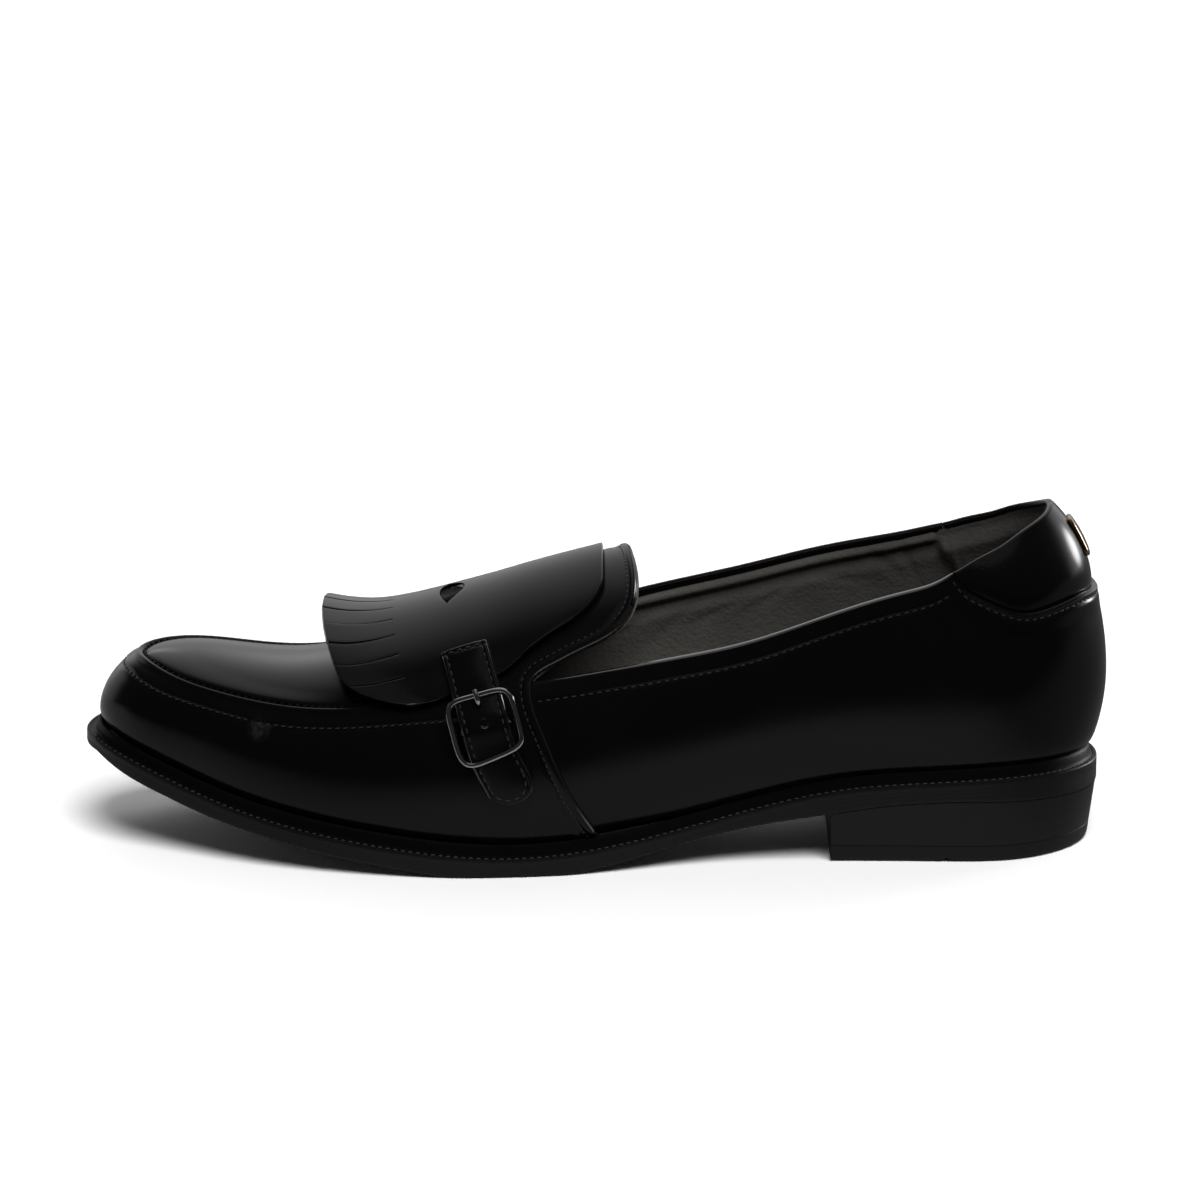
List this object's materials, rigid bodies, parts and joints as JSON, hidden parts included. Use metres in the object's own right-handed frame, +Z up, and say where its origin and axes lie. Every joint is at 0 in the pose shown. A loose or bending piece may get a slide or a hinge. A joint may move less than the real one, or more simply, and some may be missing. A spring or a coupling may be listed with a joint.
{
  "type": "single monk strap shoe",
  "caption": "Low black leather slip-on for the left foot with a moc-toe apron, fringed kiltie flap, buckled strap on the outer side and a low stacked heel.",
  "frame": {"origin": "centre of the shoe's bounding box, on the floor it stands on", "axes": "+X towards the heel, -Y towards the outer side with the buckle, +Z up"},
  "size_m": [0.2664, 0.089, 0.0886],
  "materials": {
    "outsole": "matte black",
    "welt": "black, wheeled",
    "heel_stack": "matte black",
    "top_piece": "matte black",
    "insole": "taupe, plain",
    "upper": "polished black",
    "kiltie": "polished black",
    "strap": "polished black",
    "buckle_frame": "polished",
    "buckle_prong": "polished",
    "heel_plate": "polished"
  },
  "bodies": {
    "root": {"outsole": "outsole", "welt": "welt", "heel_stack": "heel_stack", "top_piece": "top_piece", "insole": "insole", "upper": "upper", "kiltie": "kiltie", "strap": "strap", "buckle_frame": "buckle_frame", "buckle_prong": "buckle_prong", "heel_plate": "heel_plate"}
  },
  "joints": []
}
